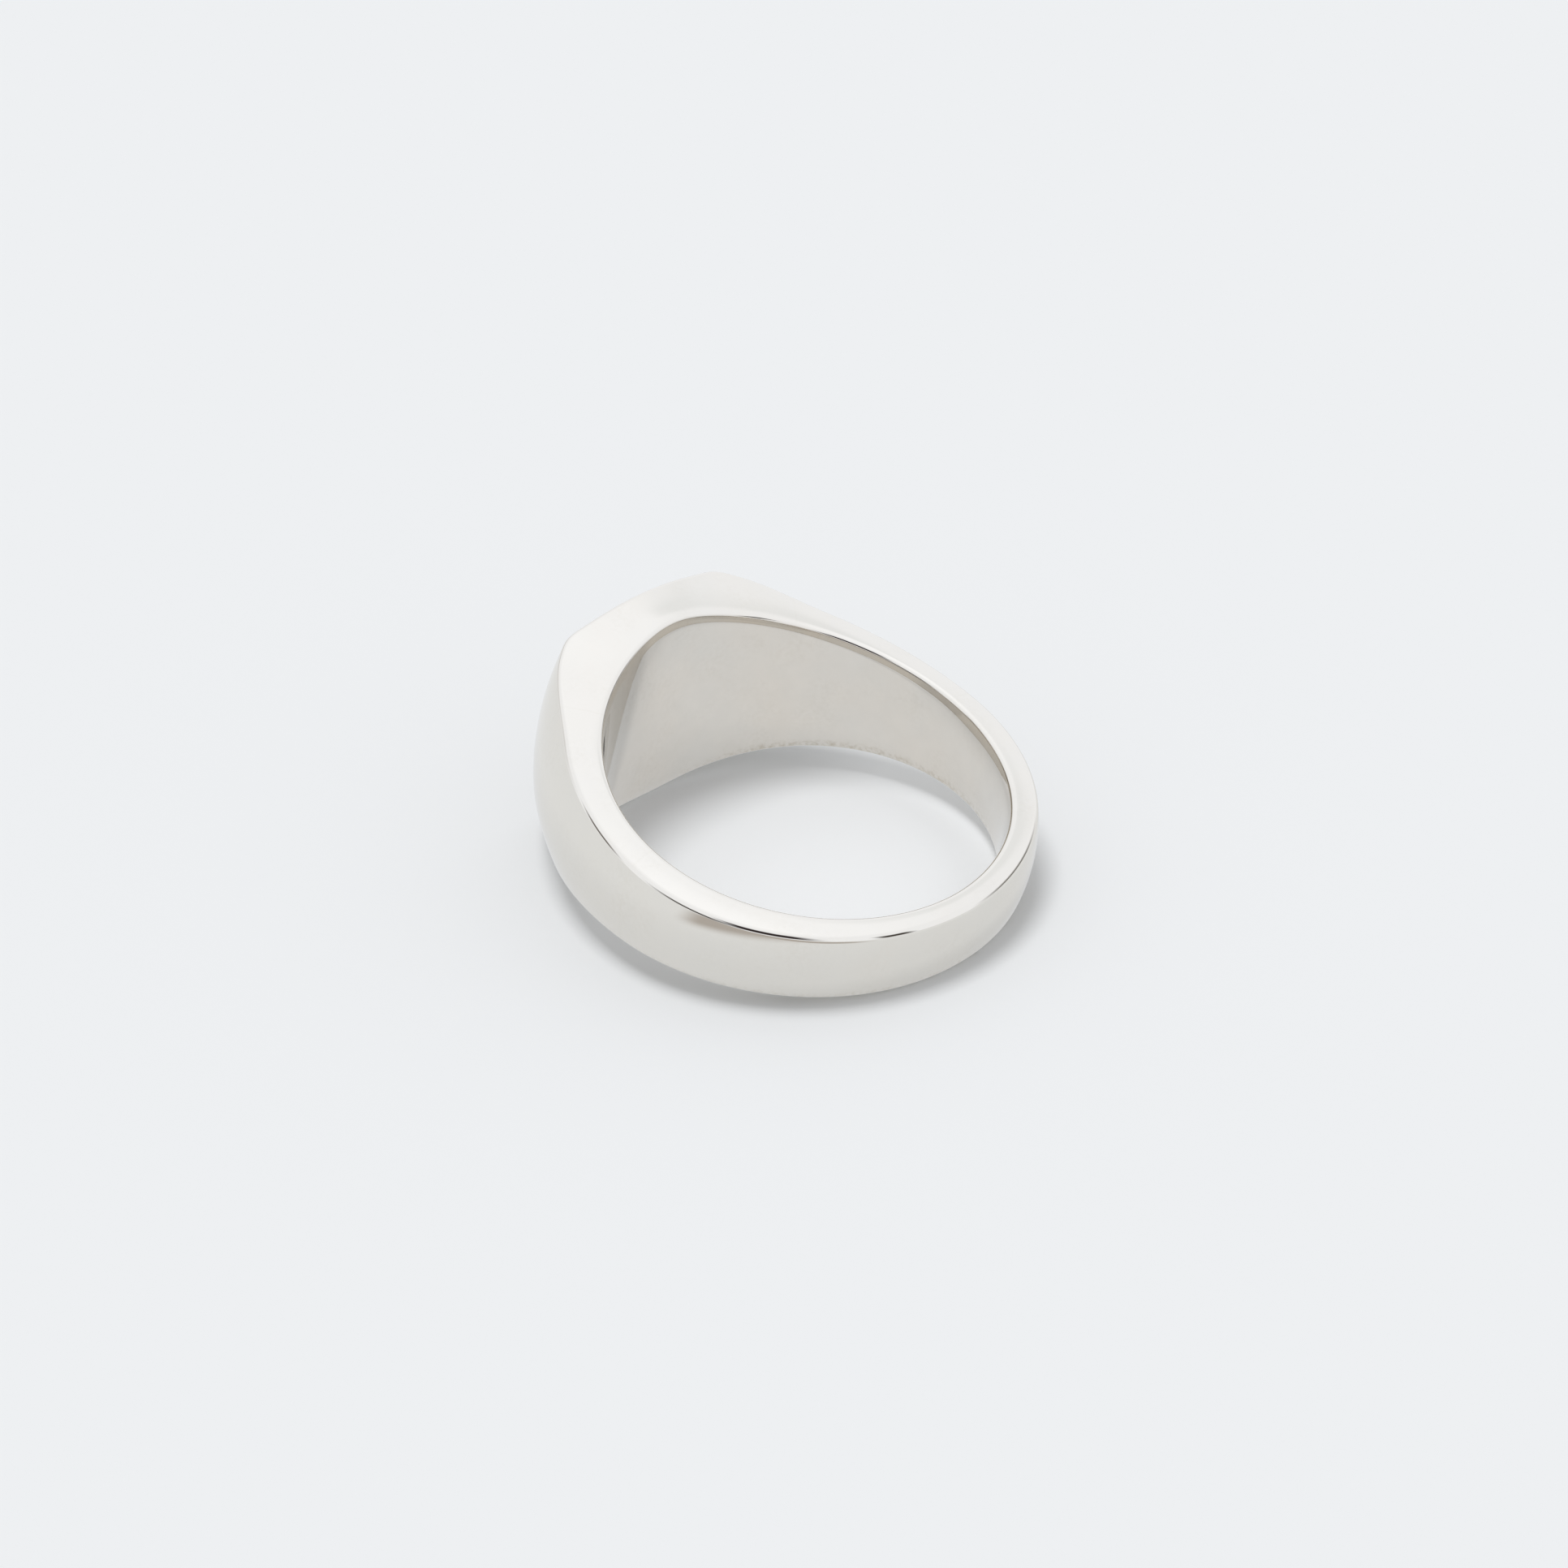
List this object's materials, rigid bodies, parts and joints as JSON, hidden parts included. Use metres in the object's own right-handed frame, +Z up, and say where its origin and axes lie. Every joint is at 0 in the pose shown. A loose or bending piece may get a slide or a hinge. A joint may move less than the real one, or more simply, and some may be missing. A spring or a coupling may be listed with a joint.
{
  "type": "signet ring",
  "caption": "Signet ring with a plain flat cushion-shaped table, shoulders that flare up to it, and a slim shank with an eased finger hole, lying on its side.",
  "frame": {"origin": "centre of the bottom of the ring's box, on the surface that it lies on", "axes": "+Z up from the surface; the head with its table faces -Y and is lifted about 10 degrees, the back of the shank is at +Y; X is the width across the finger"},
  "size_m": [0.023, 0.0238, 0.0112],
  "materials": {
    "polished_silver": "polished sterling silver",
    "hard_solder": "silver solder, filed and polished flush"
  },
  "bodies": {
    "root": {"signet_head": "polished_silver", "shoulder_left": "polished_silver", "shoulder_right": "polished_silver", "shank": "polished_silver", "solder_head_left": "hard_solder", "solder_head_right": "hard_solder", "solder_shank_left": "hard_solder", "solder_shank_right": "hard_solder"}
  },
  "joints": []
}
